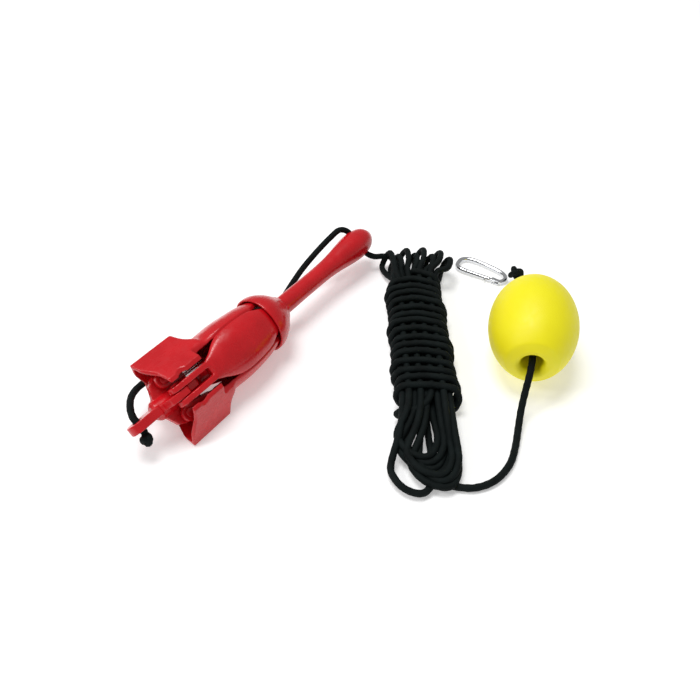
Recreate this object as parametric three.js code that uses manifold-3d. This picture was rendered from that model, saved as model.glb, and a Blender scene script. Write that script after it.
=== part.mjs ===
// Folding grapnel anchor, laid down and folded, with its rope, float and snap hook.
// Millimetres, +Z up. +X runs along the shank from the crown eye to the top eye.
// The origin is on the floor, under the middle of the anchor's own box.

import * as THREE from 'three';
import { mergeVertices } from 'three/addons/utils/BufferGeometryUtils.js';
import Module from 'manifold-3d';

const wasm = await Module();
wasm.setup();

// ---- driving dimensions ----
const ANCHOR_LENGTH = 324;
const AXIS_HEIGHT = 30.2;
const GAP = 0.3;
const RIVET_RADIUS = 1.2;

const SHANK_RADIUS = 9;
const SPIGOT_RADIUS = 7;
const SPIGOT_START = 51;
const EYE_CENTRE_X = 305;
const EYE_HOLE_RADIUS = 7.2;

const HUB_RADIUS = 9;
const HUB_START = 24;
const HUB_END = 68;
const SOCKET_DEPTH = 17.3;
const LUG_THICKNESS = 6.4;
const CROWN_BAR_THICKNESS = 8;
const CROWN_BAR_HALF_WIDTH = 9.5;
const CROWN_HOLE_X = 10;
const CROWN_HOLE_RADIUS = 4.4;

const PIVOT_X = 46;
const PIVOT_RISE = 17;
const PIN_RADIUS = 2.5;
const PIN_HEAD_RADIUS = 4.2;
const PIN_HEAD_HEIGHT = 1.2;

const ARM_INNER = 3.7;
const ARM_THICKNESS = 5;
const ARM_OUTER = ARM_INNER + ARM_THICKNESS;
const ARM_END_RADIUS = 7.4;

const WEB_START = 74.5;
const WEB_END = 84;

const SHELL_THICKNESS = 3;
const SHELL_START = 75;
const SHELL_END = 169;
const SHELL_HALF_ANGLE = 42.2;
const NARROW_START = 76.6;

const WALL_DISTANCE = 29.6;
const WALL_THICKNESS = 3;
const WALL_START = 34;
const WALL_END = 75;
const WALL_REACH = 25.6;
const NECK_END = 88;
const NOTCH_X = 54;
const NOTCH_RADIUS = 7.5;
const NOTCH_OFFSET = 5.8;

const COLLAR_START = 151;
const COLLAR_END = 180.5;
const COLLAR_BORE = 9.8;

const ROPE_RADIUS = 3;
const ROPE_SIDES = 8;

const HANK_HEIGHT = 28;

const FLOAT_RADIUS = 39;
const FLOAT_HALF_LENGTH = 49;
const FLOAT_CURVE_HALF_LENGTH = 56;
const FLOAT_BORE = 9.5;
const FLOAT_LIP = 12;
const FLOAT_CENTRE = [285, -204, 39.3];
const FLOAT_HEADING = 24.3;

const CLIP_WIRE = 2.5;
const CLIP_CENTRE = [373, -112, 3.2];
const CLIP_HEADING = -84.7;
const CLIP_HALF_LENGTH = 26.5;
const CLIP_HALF_WIDTH = 10.5;
const GATE_PIVOT_U = 17;
const NOSE_U = -13;

const QUADRANTS = [
  { name: 'front_upper', turn: 45, wide: false },
  { name: 'back_upper', turn: -45, wide: true },
  { name: 'back_lower', turn: -135, wide: false },
  { name: 'front_lower', turn: 135, wide: true },
];

const rad = THREE.MathUtils.degToRad;

// ---- materials ----
function coatedRed() {
  return new THREE.MeshStandardMaterial({ color: 0xc8202c, roughness: 0.22, metalness: 0.0 });
}

function pinSteel() {
  return new THREE.MeshStandardMaterial({ color: 0xb01c28, roughness: 0.3, metalness: 0.1 });
}

function blackCord() {
  return new THREE.MeshStandardMaterial({ color: 0x161b1b, roughness: 0.85, metalness: 0.0 });
}

function yellowFoam() {
  return new THREE.MeshStandardMaterial({ color: 0xf6ea08, roughness: 0.55, metalness: 0.0 });
}

function platedSteel() {
  return new THREE.MeshStandardMaterial({ color: 0xc9ccd0, roughness: 0.18, metalness: 1.0 });
}

// ---- solids ----
function toSolid(geometry) {
  const bare = geometry.clone();
  bare.deleteAttribute('normal');
  bare.deleteAttribute('uv');
  const merged = mergeVertices(bare, 1e-4);
  const mesh = new wasm.Mesh({
    numProp: 3,
    vertProperties: new Float32Array(merged.attributes.position.array),
    triVerts: new Uint32Array(merged.index.array),
  });
  return new wasm.Manifold(mesh);
}

function toGeometry(solid) {
  const mesh = solid.getMesh();
  const geometry = new THREE.BufferGeometry();
  geometry.setAttribute('position', new THREE.BufferAttribute(mesh.vertProperties, 3));
  geometry.setIndex(new THREE.BufferAttribute(mesh.triVerts, 1));
  geometry.computeVertexNormals();
  return geometry;
}

function joinAll(solids) {
  return solids.reduce((whole, piece) => whole.add(piece));
}

function named(name, geometry, material) {
  const mesh = new THREE.Mesh(geometry, material);
  mesh.name = name;
  return mesh;
}

// A solid of revolution about the X axis from [x, radius] pairs.
function turned(profile, sides) {
  const points = profile.map(([x, r]) => new THREE.Vector2(r, x));
  const geometry = new THREE.LatheGeometry(points, sides);
  geometry.rotateZ(-Math.PI / 2);
  return toSolid(geometry);
}

// A plate whose outline lies in the X-Z plane, centred on y and of a set thickness.
function plateXZ(shape, thickness, y, curveSegments = 6) {
  const geometry = new THREE.ExtrudeGeometry(shape, {
    depth: thickness,
    bevelEnabled: false,
    curveSegments,
  });
  geometry.rotateX(Math.PI / 2);
  geometry.translate(0, y + thickness / 2, 0);
  return toSolid(geometry);
}

// A prism whose outline lies in the X-Y plane, rising from one height to another.
function prismXY(shape, low, high, curveSegments = 6) {
  const geometry = new THREE.ExtrudeGeometry(shape, {
    depth: high - low,
    bevelEnabled: false,
    curveSegments,
  });
  geometry.translate(0, 0, low);
  return toSolid(geometry);
}

// A prism whose outline lies in the Y-Z plane, running along X.
function prismYZ(points, start, end) {
  const shape = new THREE.Shape(points.map(([y, z]) => new THREE.Vector2(y, z)));
  const geometry = new THREE.ExtrudeGeometry(shape, { depth: end - start, bevelEnabled: false });
  geometry.rotateX(Math.PI / 2);
  geometry.rotateZ(Math.PI / 2);
  geometry.translate(start, 0, 0);
  return toSolid(geometry);
}

function rodAlongY(radius, length, x, z, sides = 20) {
  const geometry = new THREE.CylinderGeometry(radius, radius, length, sides);
  geometry.translate(x, 0, z);
  return toSolid(geometry);
}

// ---- shank with the top eye ----
function makeShank() {
  const profile = [
    [SPIGOT_START, 0],
    [SPIGOT_START, SPIGOT_RADIUS],
    [HUB_END + GAP, SPIGOT_RADIUS],
    [HUB_END + GAP, SHANK_RADIUS - 0.6],
    [HUB_END + 2, SHANK_RADIUS],
    [240, SHANK_RADIUS],
    [252, 9.4],
    [266, 10.6],
    [280, 12.6],
    [292, 14],
    [302, 14.2],
    [310, 13],
    [317, 10.2],
    [322, 6],
    [ANCHOR_LENGTH, 0],
  ];
  const eye = rodAlongY(EYE_HOLE_RADIUS, 60, EYE_CENTRE_X, 0, 24);
  return toGeometry(turned(profile, 28).subtract(eye));
}

// ---- crown casting: hub, four slotted lugs and the lower eye ----
function lugShape(rootRadius) {
  const shape = new THREE.Shape();
  shape.moveTo(HUB_START + 2, 0);
  shape.lineTo(HUB_START + 2, rootRadius);
  shape.lineTo(HUB_START + 6, HUB_RADIUS + 0.5);
  shape.lineTo(PIVOT_X - 11.6, PIVOT_RISE + 2.6);
  shape.lineTo(PIVOT_X - 5, PIVOT_RISE + 6);
  shape.lineTo(PIVOT_X + 5, PIVOT_RISE + 6);
  shape.lineTo(PIVOT_X + 7.2, PIVOT_RISE + 2);
  shape.lineTo(62, PIVOT_RISE + 2);
  shape.lineTo(64.5, PIVOT_RISE - 1);
  shape.lineTo(65, 0);
  return shape;
}

function crownBarShape() {
  const shape = new THREE.Shape();
  shape.moveTo(HUB_START + 4, -CROWN_BAR_HALF_WIDTH);
  shape.lineTo(HUB_START + 4, CROWN_BAR_HALF_WIDTH);
  shape.lineTo(CROWN_BAR_HALF_WIDTH, CROWN_BAR_HALF_WIDTH);
  shape.absarc(CROWN_BAR_HALF_WIDTH, 0, CROWN_BAR_HALF_WIDTH, Math.PI / 2, Math.PI * 1.5, false);
  shape.lineTo(HUB_START + 4, -CROWN_BAR_HALF_WIDTH);
  return shape;
}

function makeCrown() {
  const hub = turned([[HUB_START, 0], [HUB_START, 6.5], [HUB_START + 3, HUB_RADIUS],
    [HUB_END, HUB_RADIUS], [HUB_END, 0]], 28);
  const socket = turned([[HUB_END - SOCKET_DEPTH, 0], [HUB_END - SOCKET_DEPTH, SPIGOT_RADIUS + GAP],
    [HUB_END + 2, SPIGOT_RADIUS + GAP], [HUB_END + 2, 0]], 28);
  const hole = rodAlongY(PIN_RADIUS + GAP, 30, PIVOT_X, PIVOT_RISE);
  let crown = hub;
  for (const quadrant of QUADRANTS) {
    const lug = plateXZ(lugShape(8), LUG_THICKNESS, 0).subtract(hole);
    crown = crown.add(lug.rotate([quadrant.turn, 0, 0]));
  }
  const bar = plateXZ(crownBarShape(), CROWN_BAR_THICKNESS, 0, 10)
    .subtract(rodAlongY(CROWN_HOLE_RADIUS, 30, CROWN_HOLE_X, 0, 24));
  crown = crown.add(bar.rotate([QUADRANTS[0].turn, 0, 0]));
  return toGeometry(crown.subtract(socket));
}

// ---- flukes, drawn with their own radial direction along +Z ----
const SHELL_PROFILE = [
  [SHELL_START, 27.4],
  [82, 27.8],
  [92, 28.5],
  [102, 29.5],
  [111, 30],
  [121, 29.7],
  [131, 28.7],
  [140, 27.2],
  [148, 25.2],
  [154, 23.4],
  [160, 20.7],
  [165, 17.8],
  [SHELL_END, 14.6],
];

function shellOfRevolution() {
  const inner = SHELL_PROFILE.map(([x, r]) => [x, r - SHELL_THICKNESS]).reverse();
  const profile = [...SHELL_PROFILE, ...inner, SHELL_PROFILE[0]];
  return turned(profile, 60);
}

function quadrantWedge() {
  const far = 46;
  const side = far * Math.tan(rad(SHELL_HALF_ANGLE));
  return prismYZ([[0, 0], [side, far], [-side, far]], 20, 200);
}

// Plan outline of a fluke: half widths along the shank, mirrored to both sides.
function planOutline(halfWidths) {
  const upper = halfWidths.map(([x, t]) => new THREE.Vector2(x, t));
  const lower = halfWidths.map(([x, t]) => new THREE.Vector2(x, -t)).reverse();
  return prismXY(new THREE.Shape([...upper, ...lower]), 2, 46);
}

function narrowPlan() {
  return planOutline([[NARROW_START, 0.5], [NARROW_START, 9.6], [83, 12.8], [91, 16.8],
    [99, 19.4], [110, 20.8], [128, 20.5], [140, 17.5], [150, 13.5], [158, 9.5], [164, 6],
    [168, 2.5], [SHELL_END + 1, 0.5]]);
}

function widePlan() {
  return planOutline([[WALL_START, 0.5], [WALL_START + 0.9, 7], [WALL_START + 4, 12.2],
    [WALL_START + 7.2, 17], [WALL_START + 8, WALL_REACH], [WALL_END, WALL_REACH], [WALL_END, 18.6],
    [NECK_END, 19], [100, 22], [132, 21], [146, 16.5], [156, 11.5], [163, 7], [167.5, 3],
    [SHELL_END + 1, 0.5]]);
}

function armShape(topRise) {
  const endTop = PIVOT_RISE + ARM_END_RADIUS;
  const shape = new THREE.Shape();
  shape.moveTo(PIVOT_X, PIVOT_RISE - ARM_END_RADIUS);
  shape.absarc(PIVOT_X, PIVOT_RISE, ARM_END_RADIUS, -Math.PI / 2, Math.PI / 2, true);
  shape.lineTo(PIVOT_X + 4, endTop);
  shape.lineTo(PIVOT_X + 11, topRise);
  shape.lineTo(WEB_END, topRise);
  shape.lineTo(WEB_END, 21);
  shape.lineTo(WEB_START, 15);
  shape.lineTo(PIVOT_X + 9, PIVOT_RISE - 6);
  shape.lineTo(PIVOT_X, PIVOT_RISE - ARM_END_RADIUS);
  return shape;
}

function forkSolid(topRise) {
  const centre = ARM_INNER + ARM_THICKNESS / 2;
  const left = plateXZ(armShape(topRise), ARM_THICKNESS, centre);
  const right = plateXZ(armShape(topRise), ARM_THICKNESS, -centre);
  const web = prismYZ([[-ARM_OUTER + 0.5, 17], [ARM_OUTER - 0.5, 17],
    [ARM_OUTER - 0.5, 25.4], [-ARM_OUTER + 0.5, 25.4]], WEB_START, WEB_END - 1);
  const hole = rodAlongY(PIN_RADIUS + GAP, 40, PIVOT_X, PIVOT_RISE);
  return joinAll([left, right, web]).subtract(hole);
}

// Two flat walls that meet in a sharp corner over the fork of a wide fluke.
function roofSolid() {
  const outer = WALL_DISTANCE * Math.SQRT2;
  const inner = (WALL_DISTANCE - WALL_THICKNESS) * Math.SQRT2;
  const reach = WALL_REACH + 4;
  return prismYZ([[0, outer], [-reach, outer - reach], [-reach, inner - reach], [0, inner],
    [reach, inner - reach], [reach, outer - reach]], WALL_START - 1, NECK_END);
}

// Side outline that slopes the end of the roof down onto the spoon.
function neckCut() {
  const ridge = WALL_DISTANCE * Math.SQRT2;
  const shape = new THREE.Shape([[WALL_START - 2, 0], [WALL_START - 2, ridge + 2],
    [WALL_END + 2.5, ridge + 2], [WALL_END + 2.7, ridge - 1], [WALL_END + 5.5, 34.5],
    [WALL_END + 9, 30.4], [NECK_END, 28], [NECK_END, 0]].map(([x, z]) => new THREE.Vector2(x, z)));
  return plateXZ(shape, 4 * WALL_REACH, 0);
}

function notches() {
  const side = WALL_REACH + NOTCH_OFFSET;
  const shapes = [side, -side].map((y) => {
    const shape = new THREE.Shape();
    shape.absarc(NOTCH_X, y, NOTCH_RADIUS, 0, Math.PI * 2, false);
    return prismXY(shape, 2, 46, 12);
  });
  return shapes[0].add(shapes[1]);
}

function makeFluke(wide) {
  const wedge = quadrantWedge();
  const shell = shellOfRevolution().intersect(wedge);
  if (!wide) {
    const petal = shell.intersect(narrowPlan());
    return petal.add(forkSolid(25.8));
  }
  const plan = widePlan();
  const petal = shell.intersect(plan);
  const roof = roofSolid().intersect(plan).intersect(neckCut()).subtract(notches());
  return joinAll([petal, roof, forkSolid(28.6)]);
}

// ---- hinge pin with a domed head at each end, lying along Y ----
function makePin() {
  const reach = ARM_OUTER + GAP;
  const top = reach + PIN_HEAD_HEIGHT;
  const half = [[0, top], [PIN_HEAD_RADIUS * 0.6, top - 0.3], [PIN_HEAD_RADIUS, reach + 0.5],
    [PIN_HEAD_RADIUS, reach], [PIN_RADIUS, reach]];
  const points = [
    ...half.map(([r, y]) => new THREE.Vector2(r, -y)),
    ...half.reverse().map(([r, y]) => new THREE.Vector2(r, y)),
  ];
  const geometry = new THREE.LatheGeometry(points, 14);
  geometry.translate(PIVOT_X, 0, PIVOT_RISE);
  return toSolid(geometry);
}

// ---- sliding collar that holds the fluke tips ----
function makeCollar() {
  const profile = [
    [COLLAR_START, 27.4],
    [155, 27.4],
    [161, 26],
    [167, 22.9],
    [172, 19.2],
    [176, 15.8],
    [178.5, 14],
    [COLLAR_END, 12.4],
    [COLLAR_END, COLLAR_BORE],
    [174.5, COLLAR_BORE],
    [172, 12.4],
    [168, 16.6],
    [163, 21.2],
    [157, 24],
    [COLLAR_START, 25.5],
    [COLLAR_START, 27.4],
  ];
  const collar = turned(profile, 36);
  const nubs = [60, -75, 170].map((angle) => {
    const ball = new THREE.SphereGeometry(2.4, 8, 6);
    ball.translate(COLLAR_END - 0.6, 0, COLLAR_BORE + 2.4);
    ball.rotateX(rad(angle));
    return toSolid(ball);
  });
  return toGeometry(joinAll([collar, ...nubs]));
}

// ---- rope ----
function ropeTube(points, steps) {
  const path = new THREE.CatmullRomCurve3(
    points.map(([x, y, z]) => new THREE.Vector3(x, y, z)),
    false,
    'centripetal',
  );
  const section = new THREE.Shape();
  for (let i = 0; i < ROPE_SIDES; i += 1) {
    const angle = (i / ROPE_SIDES) * Math.PI * 2;
    const corner = [ROPE_RADIUS * Math.cos(angle), ROPE_RADIUS * Math.sin(angle)];
    if (i === 0) section.moveTo(...corner);
    else section.lineTo(...corner);
  }
  section.closePath();
  const geometry = new THREE.ExtrudeGeometry(section, { steps, extrudePath: path });
  return toGeometry(toSolid(geometry));
}

// Crown eye to the top eye, lying along the seam between the two back flukes.
const SHANK_ROPE = [
  [9.1, -4.3, 26],
  [10, 0, 30.4],
  [9.8, 5.4, 33.6],
  [12.4, 11.5, 35],
  [18, 19.4, 34],
  [26, 28, 30.6],
  [35, 33.6, 27.4],
  [45, 36, 25.4],
  [60, 36.5, 24.9],
  [80, 36.1, 25.6],
  [95, 34.7, 28.4],
  [112, 33.4, 30.2],
  [130, 32.6, 29.8],
  [145, 31.3, 26.6],
  [160, 29.6, 20.9],
  [172, 28.4, 13.8],
  [182, 26.4, 7.4],
  [194, 24.8, 4.2],
  [208, 25, 5.2],
  [220, 26, 9.6],
  [232, 25.4, 17],
  [244, 24, 24.8],
  [258, 22.4, 31.4],
  [272, 20.4, 37.4],
  [284, 18.4, 42],
  [295, 15.3, 45.8],
  [302.8, 10.8, 41.3],
  [305, 0, 30.5],
  [306.8, -9.6, 20.9],
  [311.5, -16.5, 16.4],
  [319, -23, 15],
  [325.2, -28.9, 12.8],
];

// Hank to the float, through its bore and out to the snap hook.
const FLOAT_ROPE = [
  [121.5, -221, 3.4],
  [124.5, -227, 3.4],
  [129, -234, 3.4],
  [138.3, -241.5, 3.4],
  [150, -246, 3.4],
  [167, -247, 3.4],
  [184, -243, 3.6],
  [200.5, -237, 6],
  [215, -231.5, 12],
  [226, -228, 22],
  [235, -225.5, 33],
  [246, -221.6, 39],
  [285, -204, 39.3],
  [322, -187.3, 39.3],
  [336, -181, 36],
  [347, -175.6, 26.4],
  [356, -170.2, 15.6],
  [364, -164.4, 10.6],
  [371.4, -158, 10.3],
];

// ---- wrapped hank of spare rope: one closed solid ----
// Outline as [side, away] on the table, whose axes are turned from the shank's.
const TABLE_TURN = 54.3;
const HANK_OUTLINE = [
  [206, 60],
  [205, 130],
  [204, 190],
  [201, 214],
  [207, 236],
  [228, 254],
  [256, 252],
  [272, 236],
  [270, 198],
  [262, 130],
  [259, 60],
  [262, 15],
  [254, -20],
  [226, -36],
  [196, -27],
  [183, -2],
  [192, 30],
];

function onTable(side, away) {
  const cos = Math.cos(rad(TABLE_TURN));
  const sin = Math.sin(rad(TABLE_TURN));
  return new THREE.Vector2(cos * side + sin * away, -sin * side + cos * away);
}

function makeHank() {
  const corners = HANK_OUTLINE.map(([side, away]) => onTable(side, away));
  const loop = new THREE.SplineCurve([...corners, corners[0]]);
  const outline = loop.getPoints(56).slice(0, -1);
  const geometry = new THREE.ExtrudeGeometry(new THREE.Shape(outline), {
    depth: HANK_HEIGHT,
    bevelEnabled: false,
  });
  geometry.translate(0, 0, 0.3);
  return toGeometry(toSolid(geometry));
}

// ---- knots: rounded lumps of tied rope ----
function makeKnot(radius, stretch, place, heading) {
  const geometry = new THREE.SphereGeometry(radius, 14, 9);
  geometry.scale(...stretch);
  geometry.rotateZ(rad(heading));
  geometry.translate(...place);
  return toSolid(geometry);
}

// ---- egg-shaped float with a bore along its length ----
function makeFloat() {
  const outer = [];
  const rows = 10;
  for (let i = 0; i <= rows; i += 1) {
    const x = -FLOAT_HALF_LENGTH + 1.5 + ((FLOAT_HALF_LENGTH - 1.5) * 2 * i) / rows;
    outer.push([x, FLOAT_RADIUS * Math.sqrt(1 - (x / FLOAT_CURVE_HALF_LENGTH) ** 2)]);
  }
  const profile = [
    [-FLOAT_HALF_LENGTH + 4, FLOAT_BORE],
    [-FLOAT_HALF_LENGTH, FLOAT_LIP],
    [-FLOAT_HALF_LENGTH, FLOAT_LIP + 4],
    ...outer,
    [FLOAT_HALF_LENGTH, FLOAT_LIP + 4],
    [FLOAT_HALF_LENGTH, FLOAT_LIP],
    [FLOAT_HALF_LENGTH - 4, FLOAT_BORE],
    [-FLOAT_HALF_LENGTH + 4, FLOAT_BORE],
  ];
  return toGeometry(turned(profile, 32));
}

// ---- snap hook: bent wire body, hinged gate and rivet ----
function bentWire(points, steps, radius) {
  const path = new THREE.CatmullRomCurve3(
    points.map(([u, v]) => new THREE.Vector3(u, v, 0)),
    false,
    'centripetal',
  );
  const section = new THREE.Shape();
  section.absarc(0, 0, radius, 0, Math.PI * 2, false);
  const geometry = new THREE.ExtrudeGeometry(section, {
    steps,
    extrudePath: path,
    curveSegments: 5,
  });
  return toSolid(geometry);
}

function blockAt(sizes, place) {
  const geometry = new THREE.BoxGeometry(...sizes);
  geometry.translate(...place);
  return toSolid(geometry);
}

function makeClipBody() {
  const long = CLIP_HALF_LENGTH;
  const wide = CLIP_HALF_WIDTH;
  const wire = bentWire([
    [GATE_PIVOT_U + 4.5, -wide],
    [long - 2.5, -wide + 1.8],
    [long, -wide * 0.45],
    [long - 0.6, 0],
    [long - 4, 3.8],
    [long - 10, 6.4],
    [-long + 14, wide],
    [-long + 5, wide - 1.6],
    [-long + 0.6, wide * 0.45],
    [-long, 0],
    [-long + 1, -wide * 0.55],
    [-long + 5, -wide + 1.2],
    [NOSE_U, -wide],
  ], 42, CLIP_WIRE);
  const ears = [1, -1].map((side) => blockAt([9.5, 4.4, 0.8], [GATE_PIVOT_U + 2.2, -wide, 1.9 * side]));
  const hole = toSolid(new THREE.CylinderGeometry(RIVET_RADIUS + GAP / 2, RIVET_RADIUS + GAP / 2, 12, 14)
    .rotateX(Math.PI / 2).translate(GATE_PIVOT_U, -wide, 0));
  return joinAll([wire, ...ears]).subtract(hole);
}

function makeGate() {
  const start = NOSE_U + GAP;
  const rod = toSolid(new THREE.CylinderGeometry(CLIP_WIRE - 0.1, CLIP_WIRE - 0.1,
    GATE_PIVOT_U - 4.2 - start, 14)
    .rotateZ(Math.PI / 2)
    .translate((start + GATE_PIVOT_U - 4.2) / 2, -CLIP_HALF_WIDTH, 0));
  const tongue = blockAt([7.4, 3.4, 2.4], [GATE_PIVOT_U - 1.7, -CLIP_HALF_WIDTH, 0]);
  const nub = toSolid(new THREE.CylinderGeometry(1.1, 1.1, 3, 10)
    .translate(GATE_PIVOT_U - 9, -CLIP_HALF_WIDTH - 3, 0));
  const hole = toSolid(new THREE.CylinderGeometry(RIVET_RADIUS + GAP / 2, RIVET_RADIUS + GAP / 2, 12, 14)
    .rotateX(Math.PI / 2).translate(GATE_PIVOT_U, -CLIP_HALF_WIDTH, 0));
  return joinAll([rod, tongue, nub]).subtract(hole);
}

function makeRivet() {
  const outline = [[0, -3.1], [1.9, -2.95], [1.9, -2.45], [RIVET_RADIUS, -2.45],
    [RIVET_RADIUS, 2.45], [1.9, 2.45], [1.9, 2.95], [0, 3.1]];
  const points = outline.map(([r, z]) => new THREE.Vector2(r, z));
  const geometry = new THREE.LatheGeometry(points, 14);
  geometry.rotateX(Math.PI / 2);
  geometry.translate(GATE_PIVOT_U, -CLIP_HALF_WIDTH, 0);
  return toSolid(geometry);
}

// ---- assembly ----
const model = new THREE.Group();
model.position.set(-ANCHOR_LENGTH / 2, 0, 0);

const anchor = new THREE.Group();
anchor.position.z = AXIS_HEIGHT;
model.add(anchor);

const shank = named('shank_with_top_eye', makeShank(), coatedRed());
shank.rotation.x = rad(QUADRANTS[0].turn);
anchor.add(shank);
anchor.add(named('crown_with_lugs', makeCrown(), coatedRed()));
anchor.add(named('sliding_collar', makeCollar(), coatedRed()));

for (const quadrant of QUADRANTS) {
  const corner = new THREE.Group();
  corner.rotation.x = rad(quadrant.turn);
  corner.add(named(`fluke_${quadrant.name}`, toGeometry(makeFluke(quadrant.wide)), coatedRed()));
  corner.add(named(`hinge_pin_${quadrant.name}`, toGeometry(makePin()), pinSteel()));
  anchor.add(corner);
}

model.add(named('rope_crown_to_hank', ropeTube(SHANK_ROPE, 60), blackCord()));
model.add(named('rope_hank_to_clip', ropeTube(FLOAT_ROPE, 44), blackCord()));
model.add(named('rope_hank', makeHank(), blackCord()));

const crownKnot = makeKnot(5.4, [1, 0.95, 1], [7.2, -8.1, 21.6], 0);
model.add(named('rope_crown_knot', toGeometry(crownKnot), blackCord()));

const float = named('float', makeFloat(), yellowFoam());
float.position.set(...FLOAT_CENTRE);
float.rotation.z = rad(FLOAT_HEADING);
model.add(float);

const clip = new THREE.Group();
clip.position.set(...CLIP_CENTRE);
clip.rotation.z = rad(CLIP_HEADING);
clip.add(named('clip_body', toGeometry(makeClipBody()), platedSteel()));
clip.add(named('clip_gate', toGeometry(makeGate()), platedSteel()));
clip.add(named('clip_gate_rivet', toGeometry(makeRivet()), platedSteel()));
model.add(clip);

const clipKnot = makeKnot(8, [1.15, 0.95, 0.78], [377, -147, 12.6], CLIP_HEADING);
model.add(named('rope_clip_knot', toGeometry(clipKnot), blackCord()));

export default model;
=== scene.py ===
"""Folding grapnel anchor with its cord, float and snap hook, lying folded on a pale floor."""

import math

import bpy
import numpy as np
from mathutils import Matrix, Vector


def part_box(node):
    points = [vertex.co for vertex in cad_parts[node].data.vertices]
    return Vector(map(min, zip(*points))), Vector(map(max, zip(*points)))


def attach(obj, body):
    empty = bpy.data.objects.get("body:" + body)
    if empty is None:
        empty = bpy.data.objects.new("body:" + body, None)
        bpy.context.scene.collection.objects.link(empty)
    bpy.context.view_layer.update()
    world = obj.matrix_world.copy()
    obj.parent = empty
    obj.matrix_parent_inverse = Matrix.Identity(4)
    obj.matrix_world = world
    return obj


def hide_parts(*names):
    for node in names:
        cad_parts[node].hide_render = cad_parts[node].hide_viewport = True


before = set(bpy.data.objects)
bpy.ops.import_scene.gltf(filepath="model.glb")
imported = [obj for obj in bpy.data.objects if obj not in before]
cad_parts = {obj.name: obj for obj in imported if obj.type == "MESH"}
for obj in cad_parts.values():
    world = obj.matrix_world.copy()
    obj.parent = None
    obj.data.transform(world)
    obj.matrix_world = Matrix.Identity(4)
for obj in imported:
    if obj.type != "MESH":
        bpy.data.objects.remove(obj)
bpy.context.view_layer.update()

MM = 0.001

# ---- places taken from the frame ----
CROWN_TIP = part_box("crown_with_lugs")[0].x
COLLAR_LOW, COLLAR_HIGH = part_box("sliding_collar")
AXIS_HEIGHT = (COLLAR_LOW.z + COLLAR_HIGH.z) / 2
FLOAT_LOW, FLOAT_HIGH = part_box("float")
FLOAT_CENTRE = (FLOAT_LOW + FLOAT_HIGH) / 2

# ---- sizes in millimetres ----
QUADRANTS = {"front_upper": 45, "back_upper": -45, "back_lower": -135, "front_lower": 135}
WIDE_FLUKES = ("back_upper", "front_lower")
SHELL_THICKNESS = 3.0
SHELL_HALF_ANGLE = 42.2
SHELL_PROFILE = [
    (75, 27.4), (82, 27.8), (92, 28.5), (102, 29.5), (111, 30), (121, 29.7), (131, 28.7),
    (140, 27.2), (148, 25.2), (154, 23.4), (160, 20.7), (165, 17.8), (169, 14.6),
]
NARROW_PLAN = [
    (76.6, 9.6), (83, 12.8), (91, 16.8), (99, 19.4), (110, 20.8), (128, 20.5), (140, 17.5), (150, 13.5),
    (158, 9.5), (164, 6), (169, 1.2),
]
WIDE_PLAN = [(75, 18.6), (88, 19), (100, 22), (132, 21), (146, 16.5), (156, 11.5), (163, 7), (169, 1.2)]
DISH_DEPTH = 1.8
DISH_CENTRE = 122
DISH_REACH = 26
DISH_ANGLE = 21

DISH_FADE_START = 84
DISH_FADE_LENGTH = 14
NECK = (76, 104, 140)

SHANK_PROFILE = [
    (70, 9), (128, 9), (205, 9), (240, 9), (252, 9.4), (266, 10.6), (280, 12.6), (292, 14),
    (302, 14.2), (310, 13), (317, 10.2), (322, 6), (323.6, 2.6), (324, 0),
]
EYE_X = 305
EYE_RADIUS = 7.2

COLLAR_OUTER = [
    (151, 27.4), (155, 27.4), (161, 26), (167, 22.9), (172, 19.2), (176, 15.8), (178.5, 14), (180.5, 12.4),
]
COLLAR_INNER = [(180.5, 9.8), (174.5, 9.8), (172, 12.4), (168, 16.6), (163, 21.2), (157, 24), (151, 25.5)]
COLLAR_NUBS = [60, -75, 170]
NUB_RADIUS = 2.4
NUB_PLACE = (179.9, 0, 12.2)

ROPE_DIAMETER = 6
ROPE_RADIUS = ROPE_DIAMETER / 2
BRAID_RELIEF = 0.16
BRAID_CELLS = 6
BRAID_PITCH = 7.6

FLOAT_RADIUS = 39
FLOAT_HALF_LENGTH = 49
FLOAT_CURVE = 56
FLOAT_BORE = 9.5
FLOAT_LIP = 5
FLOAT_SHOULDER = 2.6
FLOAT_HEADING = 24.3

CLIP_CENTRE = (373, -112, 3.2)
CLIP_HEADING = -84.7
CLIP_WIRE = 2.5

# ---- small maths ----
def natural_spline(points):
    """A natural cubic through [x, y] points, as a function of x."""
    x, y = (np.array(c, float) for c in zip(*points))
    n, h = len(x), np.diff(x)
    a, b = np.eye(n), np.zeros(n)
    for i in range(1, n - 1):
        a[i, i - 1 : i + 2] = h[i - 1], 2 * (h[i - 1] + h[i]), h[i]
        b[i] = 6 * ((y[i + 1] - y[i]) / h[i] - (y[i] - y[i - 1]) / h[i - 1])
    m = np.linalg.solve(a, b)

    def at(v):
        v = np.asarray(v, float)
        i = np.clip(np.searchsorted(x, v) - 1, 0, n - 2)
        d, e, w = v - x[i], x[i + 1] - v, h[i]
        line = (m[i] * e**3 + m[i + 1] * d**3) / (6 * w)
        return line + (y[i] / w - m[i] * w / 6) * e + (y[i + 1] / w - m[i + 1] * w / 6) * d

    return at


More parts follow.
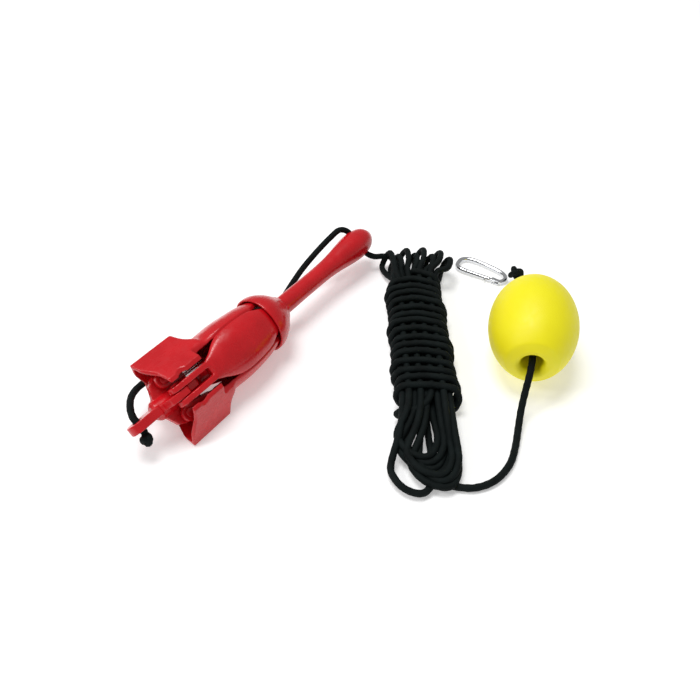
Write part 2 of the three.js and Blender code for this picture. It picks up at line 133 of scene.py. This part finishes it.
def smooth_route(points, step):
    """A centripetal Catmull-Rom curve through the points, resampled at an even step."""
    p = np.array(points, float)
    p = np.vstack([2 * p[0] - p[1], p, 2 * p[-1] - p[-2]])
    out = []
    for i in range(1, len(p) - 2):
        q = p[i - 1 : i + 3]
        t = np.concatenate([[0], np.cumsum(np.linalg.norm(np.diff(q, axis=0), axis=1) ** 0.5)])
        u = np.linspace(t[1], t[2], 12, endpoint=False)[:, None]
        a = [((t[k + 1] - u) * q[k] + (u - t[k]) * q[k + 1]) / (t[k + 1] - t[k]) for k in range(3)]
        b = [((t[k + 2] - u) * a[k] + (u - t[k]) * a[k + 1]) / (t[k + 2] - t[k]) for k in range(2)]
        out.append(((t[2] - u) * b[0] + (u - t[1]) * b[1]) / (t[2] - t[1]))
    out = np.vstack([*out, p[-2:-1]])
    run = np.concatenate([[0], np.cumsum(np.linalg.norm(np.diff(out, axis=0), axis=1))])
    even = np.linspace(0, run[-1], max(2, int(round(run[-1] / step)) + 1))
    return np.stack([np.interp(even, run, out[:, k]) for k in range(3)], 1)


# ---- mesh tools ----
def new_object(name, vertices, faces):
    mesh = bpy.data.meshes.new(name)
    mesh.from_pydata([tuple(v) for v in vertices], [], [tuple(f) for f in faces])
    mesh.update()
    obj = bpy.data.objects.new(name, mesh)
    bpy.context.scene.collection.objects.link(obj)
    return obj


def lathe(name, profile, sides):
    """A closed solid of revolution about X from [x, radius] pairs. A radius of 0 closes at the axis."""
    vertices, rings = [], []
    for x, r in profile:
        if r < 1e-6:
            rings.append([len(vertices)])
            vertices.append((x, 0, 0))
            continue
        rings.append(list(range(len(vertices), len(vertices) + sides)))
        for k in range(sides):
            a = 2 * math.pi * k / sides
            vertices.append((x, r * math.cos(a), r * math.sin(a)))
    faces = []
    closed = profile[0][1] > 1e-6
    pairs = list(zip(rings, rings[1:])) + ([(rings[-1], rings[0])] if closed else [])
    for low, high in pairs:
        for k in range(sides):
            j = (k + 1) % sides
            if len(low) == 1:
                faces.append((low[0], high[k], high[j]))
            elif len(high) == 1:
                faces.append((low[k], high[0], low[j]))
            else:
                faces.append((low[k], high[k], high[j], low[j]))
    return new_object(name, vertices, faces)


def tube(name, path, radius, sides=24, relief=None, round_ends=True):
    """A closed tube along a path, with rounded ends. relief(angle, run) adds to the radius."""
    p = np.array(path, float)
    tangent = np.gradient(p, axis=0)
    tangent /= np.linalg.norm(tangent, axis=1)[:, None]
    start = np.cross(tangent[0], (0, 0, 1.0))
    if np.linalg.norm(start) < 0.1:
        start = np.cross(tangent[0], (1.0, 0, 0))
    normals = [start / np.linalg.norm(start)]
    for t in tangent[1:]:
        n = normals[-1] - t * (normals[-1] @ t)
        normals.append(n / np.linalg.norm(n))
    normals = np.array(normals)
    binormals = np.cross(tangent, normals)
    run = np.concatenate([[0], np.cumsum(np.linalg.norm(np.diff(p, axis=0), axis=1))])
    angles = 2 * math.pi * np.arange(sides) / sides
    swell = np.zeros((len(p), sides)) if relief is None else relief(angles[None, :], run[:, None])
    reach = radius + swell
    ring = (
        p[:, None, :]
        + normals[:, None, :] * (np.cos(angles)[None, :] * reach)[..., None]
        + binormals[:, None, :] * (np.sin(angles)[None, :] * reach)[..., None]
    )
    rings = [ring]
    if round_ends:
        caps = []
        for end, sign in ((0, -1), (-1, 1)):
            steps = [(0.42, 0.91), (0.76, 0.65), (0.95, 0.31)]
            cap = [
                p[end] + tangent[end] * sign * radius * ahead + (ring[end] - p[end]) * share
                for ahead, share in steps
            ]
            caps.append(cap[::-1] if end == 0 else cap)
        rings = [np.array(caps[0]), ring, np.array(caps[1])]
    grid = np.concatenate(rings, 0)
    rows = len(grid)
    vertices = grid.reshape(-1, 3)
    i, k = np.meshgrid(np.arange(rows - 1), np.arange(sides), indexing="ij")
    j = (k + 1) % sides
    quads = np.stack([i * sides + k, i * sides + j, (i + 1) * sides + j, (i + 1) * sides + k], -1)
    faces = [tuple(q) for q in quads.reshape(-1, 4)]
    faces.append(tuple(reversed(range(sides))))
    faces.append(tuple(range((rows - 1) * sides, rows * sides)))
    return new_object(name, vertices, faces)


def place(obj, turn=0.0):
    """From anchor millimetres (crown tip at the origin) to the row frame, turned about the shank."""
    obj.data.transform(Matrix.Rotation(math.radians(turn), 4, "X"))
    obj.data.transform(Matrix.Scale(MM, 4))
    obj.data.transform(Matrix.Translation((CROWN_TIP, 0, AXIS_HEIGHT)))
    return obj


def cad_copy(node):
    obj = bpy.data.objects.new(f"copy_{node}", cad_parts[node].data.copy())
    bpy.context.scene.collection.objects.link(obj)
    obj.data.materials.clear()
    return obj


def joined(name, objects):
    """One object holding all the meshes."""
    vertices, faces, start = [], [], 0
    for o in objects:
        vertices += [tuple(v.co) for v in o.data.vertices]
        faces += [tuple(start + i for i in f.vertices) for f in o.data.polygons]
        start = len(vertices)
        bpy.data.objects.remove(o)
    return new_object(name, vertices, faces)


def with_modifiers(obj):
    """Replaces the object's mesh by its evaluated one."""
    bpy.context.view_layer.update()
    evaluated = obj.evaluated_get(bpy.context.evaluated_depsgraph_get())
    mesh = bpy.data.meshes.new_from_object(evaluated)
    obj.modifiers.clear()
    obj.data = mesh
    return obj


def cut(obj, tool):
    modifier = obj.modifiers.new("cut", "BOOLEAN")
    modifier.operation = "DIFFERENCE"
    modifier.solver = "EXACT"
    modifier.object = tool
    with_modifiers(obj)
    bpy.data.objects.remove(tool)
    return obj


def cast_skin(obj, voxel, passes, wobble=0.0, wobble_size=0.012, neck=None):
    """Melts overlapping solids into one skin with softened edges, as under a dipped coating.
    neck is (low x, high x, passes) of a stretch that is softened further."""
    remesh = obj.modifiers.new("melt", "REMESH")
    remesh.mode = "VOXEL"
    remesh.voxel_size = voxel * MM
    if neck:
        with_modifiers(obj)
        low, high, extra = neck
        group = obj.vertex_groups.new(name="neck")
        for v in obj.data.vertices:
            x = (v.co.x - CROWN_TIP) / MM
            share = min(1.0, (x - low) / 5, (high - x) / 10)
            if share > 0:
                group.add([v.index], share, "REPLACE")
        blend = obj.modifiers.new("blend", "SMOOTH")
        blend.iterations = extra
        blend.factor = 0.5
        blend.vertex_group = "neck"
    soften = obj.modifiers.new("soften", "SMOOTH")
    soften.iterations = passes
    soften.factor = 0.5
    if wobble:
        clouds = bpy.data.textures.new(f"{obj.name}_clouds", "CLOUDS")
        clouds.noise_scale = wobble_size
        uneven = obj.modifiers.new("uneven", "DISPLACE")
        uneven.texture = clouds
        uneven.strength = wobble * MM
        uneven.mid_level = 0.5
    with_modifiers(obj)
    return smooth_shaded(obj)


def smooth_shaded(obj):
    obj.data.polygons.foreach_set("use_smooth", [True] * len(obj.data.polygons))
    obj.data.update()
    return obj


def dress(obj, material, slot, body, *nodes):
    """Material, slot (not used), body and the CAD nodes that the piece stands for."""
    obj.data.materials.clear()
    obj.data.materials.append(material)
    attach(obj, body)
    if nodes:
        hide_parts(*nodes)
    return obj


# ---- materials ----
def material(name, colour, roughness, metallic=0.0):
    m = bpy.data.materials.new(name)
    m.use_nodes = True
    shader = m.node_tree.nodes["Principled BSDF"]
    shader.inputs["Base Color"].default_value = (*colour, 1)
    shader.inputs["Roughness"].default_value = roughness
    shader.inputs["Metallic"].default_value = metallic
    return m, m.node_tree, shader


def noise_node(tree, scale, detail=3.0, roughness=0.5):
    coordinates = tree.nodes.new("ShaderNodeTexCoord")
    texture = tree.nodes.new("ShaderNodeTexNoise")
    texture.inputs["Scale"].default_value = scale
    texture.inputs["Detail"].default_value = detail
    texture.inputs["Roughness"].default_value = roughness
    tree.links.new(coordinates.outputs["Object"], texture.inputs["Vector"])
    return texture.outputs["Fac"]


def mapped(tree, value, low, high, start=0.3, end=0.7):
    node = tree.nodes.new("ShaderNodeMapRange")
    node.inputs["From Min"].default_value = start
    node.inputs["From Max"].default_value = end
    node.inputs["To Min"].default_value = low
    node.inputs["To Max"].default_value = high
    tree.links.new(value, node.inputs["Value"])
    return node.outputs["Result"]


def tinted(tree, value, low, high):
    """A colour that goes from low to high with the value."""
    mix = tree.nodes.new("ShaderNodeMix")
    mix.data_type = "RGBA"
    mix.inputs[6].default_value = (*low, 1)
    mix.inputs[7].default_value = (*high, 1)
    tree.links.new(value, mix.inputs["Factor"])
    return mix.outputs[2]


def bumped(tree, shader, height, strength, distance):
    bump = tree.nodes.new("ShaderNodeBump")
    bump.inputs["Strength"].default_value = strength
    bump.inputs["Distance"].default_value = distance
    tree.links.new(height, bump.inputs["Height"])
    tree.links.new(bump.outputs["Normal"], shader.inputs["Normal"])


def red_coating():
    m, tree, shader = material("red_coating", (0.58, 0.004, 0.009), 0.25)
    patches = mapped(tree, noise_node(tree, 45), 0, 1)
    colour = tinted(tree, patches, (0.53, 0.003, 0.008), (0.63, 0.006, 0.012))
    tree.links.new(colour, shader.inputs["Base Color"])
    tree.links.new(mapped(tree, noise_node(tree, 160), 0.22, 0.34), shader.inputs["Roughness"])
    bumped(tree, shader, noise_node(tree, 260, 2.0), 0.1, 0.0006)
    shader.inputs["Specular IOR Level"].default_value = 0.4
    shader.inputs["Coat Weight"].default_value = 0.2
    shader.inputs["Coat Roughness"].default_value = 0.08
    return m


def cord_black():
    m, tree, shader = material("black_cord", (0.003, 0.0055, 0.0055), 0.75)
    patches = mapped(tree, noise_node(tree, 90), 0, 1)
    colour = tinted(tree, patches, (0.002, 0.004, 0.004), (0.005, 0.009, 0.009))
    tree.links.new(colour, shader.inputs["Base Color"])
    bumped(tree, shader, noise_node(tree, 2600, 2.0), 0.5, 0.0004)
    shader.inputs["Specular IOR Level"].default_value = 0.14
    return m


def foam_yellow():
    m, tree, shader = material("yellow_foam", (0.93, 0.84, 0.004), 0.5)
    patches = mapped(tree, noise_node(tree, 30), 0, 1)
    colour = tinted(tree, patches, (0.95, 0.84, 0.001), (0.97, 0.89, 0.002))
    tree.links.new(colour, shader.inputs["Base Color"])
    tree.links.new(mapped(tree, noise_node(tree, 220), 0.42, 0.6), shader.inputs["Roughness"])
    bumped(tree, shader, noise_node(tree, 1500, 4.0, 0.7), 0.25, 0.0005)
    return m


def plated_steel():
    m, tree, shader = material("plated_steel", (0.72, 0.73, 0.75), 0.18, 1.0)
    tree.links.new(mapped(tree, noise_node(tree, 300), 0.1, 0.26), shader.inputs["Roughness"])
    bumped(tree, shader, noise_node(tree, 900, 2.0), 0.08, 0.0003)
    return m


RED = red_coating()
BLACK = cord_black()
YELLOW = foam_yellow()
ZINC = plated_steel()


# ---- camera, floor and lights ----
CAMERA_PLACE = (-0.3327, -0.3329, 0.455)
CAMERA_AIM = (0.574, 0.413, -0.7071)
CAMERA_LENS = 35.49
FLOOR_REACH = 4.0
WORLD_STRENGTH = 0.34


def make_camera():
    data = bpy.data.cameras.new("camera")
    data.lens = CAMERA_LENS
    data.sensor_width = 36
    camera = bpy.data.objects.new("camera", data)
    bpy.context.scene.collection.objects.link(camera)
    camera.location = CAMERA_PLACE
    camera.rotation_mode = "QUATERNION"
    camera.rotation_quaternion = Vector(CAMERA_AIM).to_track_quat("-Z", "Y")
    bpy.context.scene.camera = camera


def make_floor():
    m, tree, shader = material("floor", (0.85, 0.85, 0.85), 0.7)
    shader.inputs["Emission Color"].default_value = (1, 1, 1, 1)
    shader.inputs["Emission Strength"].default_value = 0.34
    shader.inputs["Specular IOR Level"].default_value = 0.2
    r = FLOOR_REACH
    corners = [(-r, -r, 0), (r, -r, 0), (r, r, 0), (-r, r, 0)]
    floor = new_object("floor", corners, [(0, 1, 2, 3)])
    floor.data.materials.append(m)


def area_light(name, place_at, aim, size, power, colour=(1, 1, 1)):
    data = bpy.data.lights.new(name, "AREA")
    data.shape = "DISK"
    data.size = size
    data.energy = power
    data.color = colour
    light = bpy.data.objects.new(name, data)
    bpy.context.scene.collection.objects.link(light)
    light.location = place_at
    light.rotation_mode = "QUATERNION"
    light.rotation_quaternion = (Vector(aim) - Vector(place_at)).to_track_quat("-Z", "Y")


def make_lights():
    world = bpy.data.worlds.new("studio")
    world.use_nodes = True
    world.node_tree.nodes["Background"].inputs["Color"].default_value = (1, 1, 1, 1)
    world.node_tree.nodes["Background"].inputs["Strength"].default_value = WORLD_STRENGTH
    bpy.context.scene.world = world
    middle = (0.0, -0.08, 0.0)
    area_light("overhead", (0.1, 0.5, 2.6), middle, 1.3, 40)
    area_light("left_side", (-1.3, 1.0, 1.6), middle, 0.6, 12)
    bpy.context.scene.view_settings.view_transform = "Standard"


make_camera()
make_floor()
make_lights()


# ---- cord routes, in anchor millimetres ----
SHANK_ROPE = [
    (9.1, -4.3, 26), (10, 0, 30.4), (9.8, 5.4, 33.6), (12.4, 11.5, 35), (18, 19.4, 34),
    (26, 28, 30.6), (35, 33.6, 27.4), (45, 36, 25.4), (60, 36.5, 24.9), (80, 36.1, 25.6),
    (95, 34.7, 28.4), (112, 33.4, 30.2), (130, 32.6, 29.8), (145, 31.3, 26.6), (160, 29.6, 20.9),
    (172, 28.4, 13.8), (182, 26.4, 7.4), (194, 24.8, 4.2), (208, 25, 5.2), (220, 26, 9.6),
    (232, 25.4, 17), (244, 24, 24.8), (258, 22.4, 31.4), (272, 20.4, 37.4), (284, 18.4, 42),
    (295, 15.3, 45.8), (302.8, 10.8, 41.3), (305, 0, 30.5), (306.8, -9.6, 20.9),
    (311.5, -16.5, 16.4), (319, -23, 15), (325.2, -28.9, 12.8),
]
FLOAT_ROPE = [
    (121.5, -221, 3.4), (124.5, -227, 3.4), (129, -234, 3.4), (138.3, -241.5, 3.4),
    (150, -246, 3.4), (167, -247, 3.4), (184, -243, 3.6), (200.5, -237, 6), (215, -231.5, 12),
    (226, -228, 22), (235, -225.5, 33), (246, -221.6, 39), (285, -204, 39.3), (322, -187.3, 39.3),
    (336, -181, 36), (347, -175.6, 26.4), (356, -170.2, 15.6), (364, -164.4, 10.6), (371.4, -158, 10.3),
]

# ---- the hank: long folds held by a winding, on table axes (side, away, height) ----
TABLE_TURN = 54.3
HANK_SIDE = 234.0
COLUMNS = 9
COLUMN_PITCH = 5.0
COLUMN_STAGGER = 1.7
LOW_ROW = 9.6
HIGH_ROW = 20.0
WRAP_START = 46.0
WRAP_END = 196.0
WRAP_TURNS = 15.5
WRAP_HALF_WIDTH = 26.0
WRAP_LOW = 3.4
WRAP_HIGH = 25.8
WRAP_ARCH = 7.0
WRAP_STEPS = 16
NEAR_END = 40
FAR_END = 196
HALF_WAY = 120
FOLD_TILT = 4.5
FOLD_TURN = 9.5
FOLD_MIDDLE = 13.5
FOLD_LEAN = 0.72
FOLD_TIPS = (238, 247, 241, 251, 243, 252, 241, 247, 236)
FOLD_ORDER = (0, 4, 8, 3, 7, 2, 6, 1, 5)
NEAR_SPREADS = (12, 16, 4, 14, 9, 15, 3, 11)
NEAR_FOLD_LENGTH = 26
NEAR_DEPTH = -38
NEAR_DEPTH_STEP = 4.2
NEAR_REST = 3.4
NEAR_REST_STEP = 2.4


def table_to_anchor(points):
    p = np.array(points, float)
    c, s = math.cos(math.radians(TABLE_TURN)), math.sin(math.radians(TABLE_TURN))
    return np.stack([c * p[:, 0] + s * p[:, 1], -s * p[:, 0] + c * p[:, 1], p[:, 2]], 1)


def column_side(k):
    return HANK_SIDE + (k - (COLUMNS - 1) / 2) * COLUMN_PITCH


def column_lift(k):
    return COLUMN_STAGGER if k % 2 else -COLUMN_STAGGER


def fold_over(k):
    """The upright fold of column k at the far end, from the low run to the high run."""
    side, lift = column_side(k), column_lift(k)
    lean = (side - HANK_SIDE) * FOLD_LEAN
    tip = FOLD_TIPS[k]
    low, high = LOW_ROW + lift, HIGH_ROW + lift
    points = [(side, FAR_END, low), (side + lean * 0.3, FAR_END + 16, low - 2),
              (side + lean * 0.7 - FOLD_TILT * 0.8, tip - 20, 6)]
    for a in (-70, -35, 0, 35, 70):
        c, s = math.cos(math.radians(a)), math.sin(math.radians(a))
        away = tip - FOLD_TURN + FOLD_TURN * c
        points.append((side + lean + FOLD_TILT * s, away, FOLD_MIDDLE + FOLD_TURN * s))
    points += [(side + lean * 0.7 + FOLD_TILT * 0.8, tip - 22, 24),
               (side + lean * 0.3, FAR_END + 18, high + 2), (side, FAR_END, high)]
    return points


def fold_under(a, b, depth, rest, spread):
    """The flat fold on the floor at the near end, from the high run of column a to the low run of b."""
    sa, sb = column_side(a), column_side(b)
    left, right = min(sa, sb), max(sa, sb)
    middle, half = (left + right) / 2, (right - left) / 2
    low, high = LOW_ROW + column_lift(b), HIGH_ROW + column_lift(a)
    angles = range(170, 0, -20) if sa < sb else range(10, 180, 20)
    round_end = []
    for i, angle in enumerate(angles):
        c, s = math.cos(math.radians(angle)), math.sin(math.radians(angle))
        reach = half + (spread if c < 0 else 2.5)
        share = i / (len(angles) - 1)
        settled = rest + (high - rest) * 0.25 * (1 - share)
        away = depth + NEAR_FOLD_LENGTH - NEAR_FOLD_LENGTH * s
        round_end.append((middle + c * reach, away, settled))
    halfway = (depth + (NEAR_FOLD_LENGTH + NEAR_END)) / 2
    return [(sa, NEAR_END, high), (sa * 0.7 + round_end[0][0] * 0.3, halfway, high * 0.8 + rest * 0.2),
            *round_end, (sb * 0.7 + round_end[-1][0] * 0.3, halfway, low * 0.6 + rest * 0.4),
            (sb, NEAR_END, low)]


def winding():
    """Turns of cord round the folds, from the near end to the far end."""
    points = []
    half_height = (WRAP_HIGH - WRAP_LOW) / 2
    for i in range(int(WRAP_TURNS * WRAP_STEPS) + 1):
        a = 2 * math.pi * i / WRAP_STEPS - math.pi / 2
        share = i / (WRAP_TURNS * WRAP_STEPS)
        c, s = math.cos(a), math.sin(a)
        corner = max(abs(c), abs(s)) ** -0.45
        drift = i / WRAP_STEPS
        width = WRAP_HALF_WIDTH * (1 - 0.05 * share) + 0.7 * math.sin(2.4 * drift)
        lean = (3.2 + 1.3 * math.sin(1.7 * drift)) * s
        arch = WRAP_ARCH * share * max(s, 0) * (1 - c * c)
        points.append((
            HANK_SIDE + 1.5 - 3 * share + 1.1 * math.sin(1.3 * drift) + width * c * corner,
            WRAP_START + (WRAP_END - WRAP_START) * share + lean + arch,
            (WRAP_LOW + WRAP_HIGH) / 2 + half_height * min(1.0, max(-1.0, s * corner)),
        ))
    return points


def hank_route():
    """From the end of the shank's stretch, through every fold, then round them to the last turn."""
    end = np.array(SHANK_ROPE[-1], float)
    c, s = math.cos(math.radians(TABLE_TURN)), math.sin(math.radians(TABLE_TURN))
    start = (c * end[0] - s * end[1], s * end[0] + c * end[1], end[2])
    first = FOLD_ORDER[0]
    points = [start, (start[0] + 2, start[1] - 14, 16), (column_side(first), FAR_END + 9, 20),
              (column_side(first), FAR_END, HIGH_ROW + column_lift(first))]
    for i, (a, b) in enumerate(zip(FOLD_ORDER, FOLD_ORDER[1:])):
        depth = NEAR_DEPTH + NEAR_DEPTH_STEP * i
        rest = NEAR_REST + NEAR_REST_STEP * (i % 4)
        points += fold_under(a, b, depth, rest, NEAR_SPREADS[i])
        points += [(column_side(b), HALF_WAY, LOW_ROW + column_lift(b))]
        points += fold_over(b)
        points += [(column_side(b), HALF_WAY, HIGH_ROW + column_lift(b))]
    last = FOLD_ORDER[-1]
    points += [(column_side(last), 54, HIGH_ROW + 1), (234, 41, 20.5), (225, 35, 18.4),
               (214, 35, 16.5), (209.5, 36, 11), (213, 38.5, 5.2), (222, 41, 3.5)]
    points += winding()
    return points


def braid(angle, run):
    """The diamond relief of a braided cord."""
    along = 2 * math.pi * run / (BRAID_PITCH * 2)
    cell = np.cos(BRAID_CELLS / 2 * angle + along) * np.cos(BRAID_CELLS / 2 * angle - along)
    return BRAID_RELIEF * (np.abs(cell) ** 0.6 * 2 - 1.2)


def floor_route(points, step):
    """From anchor millimetres, heights above the floor, to a smooth path in the row frame."""
    path = smooth_route(points, step) * MM
    return path + np.array((CROWN_TIP, 0, 0))


def cord_piece(name, points, node, **facts):
    path = floor_route(points, 1.1)
    to_mm = path / MM
    obj = tube(name, to_mm, ROPE_RADIUS - 0.05, 20, braid)
    obj.data.transform(Matrix.Scale(MM, 4))
    smooth_shaded(obj)
    dress(obj, BLACK, "black_cord", "anchor", node)
    return obj


# ---- knots ----
def knot_piece(name, node, scale, swell):
    """A tied lump: a trefoil of cord drawn tight, filling its CAD solid."""
    low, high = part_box(node)
    middle, half = (low + high) / 2, (high - low) / 2
    points = []
    for i in range(61):
        a = 2 * math.pi * i / 60
        points.append((
            (math.sin(a) + 2 * math.sin(2 * a)) / 3 * half.x * scale / MM,
            (math.cos(a) - 2 * math.cos(2 * a)) / 3 * half.y * scale / MM,
            -math.sin(3 * a) * half.z * 0.55 / MM,
        ))
    obj = tube(name, smooth_route(points, 0.8), ROPE_RADIUS * swell, 18, braid)
    obj.data.transform(Matrix.Scale(MM, 4))
    obj.data.transform(Matrix.Translation(middle))
    smooth_shaded(obj)
    return dress(obj, BLACK, "black_cord", "anchor", node)


# ---- anchor pieces ----
def fine_petal(plan):
    """One fluke's spoon as a fine closed shell, drawn with its middle along +Z."""
    radius, width = natural_spline(SHELL_PROFILE), natural_spline(plan)
    rows, columns = 120, 60
    xs = np.linspace(max(plan[0][0], SHELL_PROFILE[0][0]), 169, rows)
    outer, inner = [], []
    for x in xs:
        r = float(radius(x)) + 0.06
        w = min(float(width(x)), r * math.sin(math.radians(SHELL_HALF_ANGLE)))
        for t in np.linspace(-w, w, columns):
            outer.append((x, t, math.sqrt(r * r - t * t)))
            thin = r - SHELL_THICKNESS - 0.06
            inner.append((x, t, math.sqrt(max(thin * thin - t * t, 1.0))))
    vertices = outer + inner
    shift = len(outer)
    faces = []
    for i in range(rows - 1):
        for k in range(columns - 1):
            a, b = i * columns + k, (i + 1) * columns + k
            faces.append((a, b, b + 1, a + 1))
            faces.append((shift + a, shift + a + 1, shift + b + 1, shift + b))
    for i in range(rows - 1):
        for k, flip in ((0, True), (columns - 1, False)):
            a, b = i * columns + k, (i + 1) * columns + k
            side = (a, shift + a, shift + b, b)
            faces.append(side if flip else side[::-1])
    for k in range(columns - 1):
        for i, flip in ((0, False), (rows - 1, True)):
            a = i * columns + k
            end = (a, shift + a, shift + a + 1, a + 1)
            faces.append(end if flip else end[::-1])
    return new_object("petal", vertices, faces)


def press_dish(obj, turn):
    """Presses a shallow hollow into the middle of the spoon."""
    count = len(obj.data.vertices)
    co = np.zeros(count * 3, np.float32)
    obj.data.vertices.foreach_get("co", co)
    co = co.reshape(-1, 3).astype(float)
    x = (co[:, 0] - CROWN_TIP) / MM
    y, z = co[:, 1], co[:, 2] - AXIS_HEIGHT
    angle = np.degrees(np.arctan2(y, z)) + turn
    angle = (angle + 180) % 360 - 180
    depth = DISH_DEPTH * np.exp(-(((x - DISH_CENTRE) / DISH_REACH) ** 2) - (angle / DISH_ANGLE) ** 2)
    depth *= np.clip((x - DISH_FADE_START) / DISH_FADE_LENGTH, 0, 1)
    r = np.hypot(y, z)
    pull = 1 - depth * MM / np.maximum(r, 1e-6)
    co[:, 1] = y * pull
    co[:, 2] = z * pull + AXIS_HEIGHT
    obj.data.vertices.foreach_set("co", co.astype(np.float32).ravel())
    obj.data.update()


def make_fluke(name, turn):
    node = f"fluke_{name}"
    petal = place(fine_petal(WIDE_PLAN if name in WIDE_FLUKES else NARROW_PLAN), turn)
    fluke = joined(f"cast_{node}", [cad_copy(node), petal])
    cast_skin(fluke, 0.6, 6, 0.3, neck=NECK)
    press_dish(fluke, turn)
    return dress(fluke, RED, "red_coating", node, node)


def make_shank():
    radius = natural_spline(SHANK_PROFILE[:-2])
    xs = [*np.linspace(70.3, 200, 8), *np.linspace(205, 322, 60)]
    profile = [(51, 0), (51, 7), (68.3, 7), (68.3, 8.4), *[(x, float(radius(x))) for x in xs],
               (323.4, 3.4), (324, 0)]
    shank = lathe("cast_shank", profile, 96)
    hole = lathe("hole", [(-30, 0), (-30, EYE_RADIUS), (30, EYE_RADIUS), (30, 0)], 48)
    hole.data.transform(Matrix.Rotation(math.pi / 2, 4, "Z"))
    hole.data.transform(Matrix.Translation((EYE_X, 0, 0)))
    cut(shank, hole)
    place(shank, QUADRANTS["front_upper"])
    cast_skin(shank, 0.5, 14, 0.3, 0.02)
    return dress(shank, RED, "red_coating", "anchor", "shank_with_top_eye")


def make_collar():
    outer, inner = natural_spline(COLLAR_OUTER), COLLAR_INNER
    profile = [(x, float(outer(x))) for x in np.linspace(151, 180.5, 40)] + inner
    collar = lathe("collar", profile, 144)
    nubs = []
    for angle in COLLAR_NUBS:
        steps = [math.pi * i / 10 for i in range(11)]
        ball = [(-NUB_RADIUS * math.cos(a), NUB_RADIUS * math.sin(a)) for a in steps]
        nub = lathe("nub", ball, 20)
        nub.data.transform(Matrix.Translation(NUB_PLACE))
        nub.data.transform(Matrix.Rotation(math.radians(angle), 4, "X"))
        nubs.append(nub)
    ring = place(joined("cast_collar", [collar, *nubs]))
    cast_skin(ring, 0.5, 10, 0.3)
    return dress(ring, RED, "red_coating", "collar", "sliding_collar")


def make_crown():
    crown = joined("cast_crown", [cad_copy("crown_with_lugs")])
    cast_skin(crown, 0.5, 12, 0.3)
    return dress(crown, RED, "red_coating", "anchor", "crown_with_lugs")


def make_pin(name):
    node = f"hinge_pin_{name}"
    pin = joined(f"cast_{node}", [cad_copy(node)])
    cast_skin(pin, 0.3, 6)
    return dress(pin, RED, "pin_coating", "anchor", node)


# ---- float ----
def make_float():
    def outer(x):
        return FLOAT_RADIUS * math.sqrt(1 - (x / FLOAT_CURVE) ** 2)

    xs = np.linspace(-FLOAT_HALF_LENGTH, FLOAT_HALF_LENGTH, 90)
    profile = []
    for end in (-1, 1):
        lip = []
        for a in range(0, 91, 10):
            c, s = math.cos(math.radians(a)), math.sin(math.radians(a))
            x = end * (FLOAT_HALF_LENGTH - FLOAT_LIP + FLOAT_LIP * s)
            lip.append((x, FLOAT_BORE + FLOAT_LIP - FLOAT_LIP * c))
        if end == -1:
            profile += lip
            profile += [(x, outer(x)) for x in xs if abs(x) < FLOAT_HALF_LENGTH - FLOAT_SHOULDER]
        else:
            profile += lip[::-1]
    body = lathe("foam_float", profile, 128)
    body.data.transform(Matrix.Rotation(math.radians(FLOAT_HEADING), 4, "Z"))
    body.data.transform(Matrix.Scale(MM, 4))
    body.data.transform(Matrix.Translation(FLOAT_CENTRE))
    cast_skin(body, 0.8, 8, 0.25, 0.02)
    return dress(body, YELLOW, "yellow_foam", "float", "float")


# ---- snap hook ----
def clip_place(obj):
    obj.data.transform(Matrix.Rotation(math.radians(CLIP_HEADING), 4, "Z"))
    obj.data.transform(Matrix.Translation(CLIP_CENTRE))
    obj.data.transform(Matrix.Scale(MM, 4))
    obj.data.transform(Matrix.Translation((CROWN_TIP, 0, 0)))
    return obj


def make_clip():
    wire = [(21.5, -10.5, 0), (24, -8.7, 0), (26.5, -4.7, 0), (25.9, 0, 0), (22.5, 3.8, 0),
            (16.5, 6.4, 0), (-12.5, 10.5, 0), (-21.5, 8.9, 0), (-25.9, 4.7, 0), (-26.5, 0, 0),
            (-25.5, -5.8, 0), (-21.5, -9.3, 0), (-13, -10.5, 0)]
    bar = clip_place(tube("bar", smooth_route(wire, 1), CLIP_WIRE, 32, round_ends=False))
    body = joined("hook_body", [cad_copy("clip_body"), bar])
    cast_skin(body, 0.25, 8)
    dress(body, ZINC, "plated_steel", "anchor", "clip_body")
    gate = joined("hook_gate", [cad_copy("clip_gate")])
    cast_skin(gate, 0.22, 8)
    dress(gate, ZINC, "plated_steel", "clip_gate", "clip_gate")
    rivet = joined("hook_rivet", [cad_copy("clip_gate_rivet")])
    cast_skin(rivet, 0.18, 4)
    dress(rivet, ZINC, "plated_steel", "anchor", "clip_gate_rivet")
    return [body, gate, rivet]


crown_knot = knot_piece("crown_knot", "rope_crown_knot", 0.55, 0.95)
clip_knot = knot_piece("clip_knot", "rope_clip_knot", 0.62, 0.9)
hook = make_clip()

cord_piece("cord_shank", SHANK_ROPE, "rope_crown_to_hank", far_end="object", lay="loose",
           with_pieces=[crown_knot])
cord_piece("cord_hank", table_to_anchor(hank_route()), "rope_hank", far_end="object", lay="coiled")
cord_piece("cord_float", FLOAT_ROPE, "rope_hank_to_clip", far_end="fitting", lay="loose",
           with_pieces=[clip_knot, *hook])

make_crown()
make_shank()
make_collar()
for name, turn in QUADRANTS.items():
    make_fluke(name, turn)
    make_pin(name)
make_float()
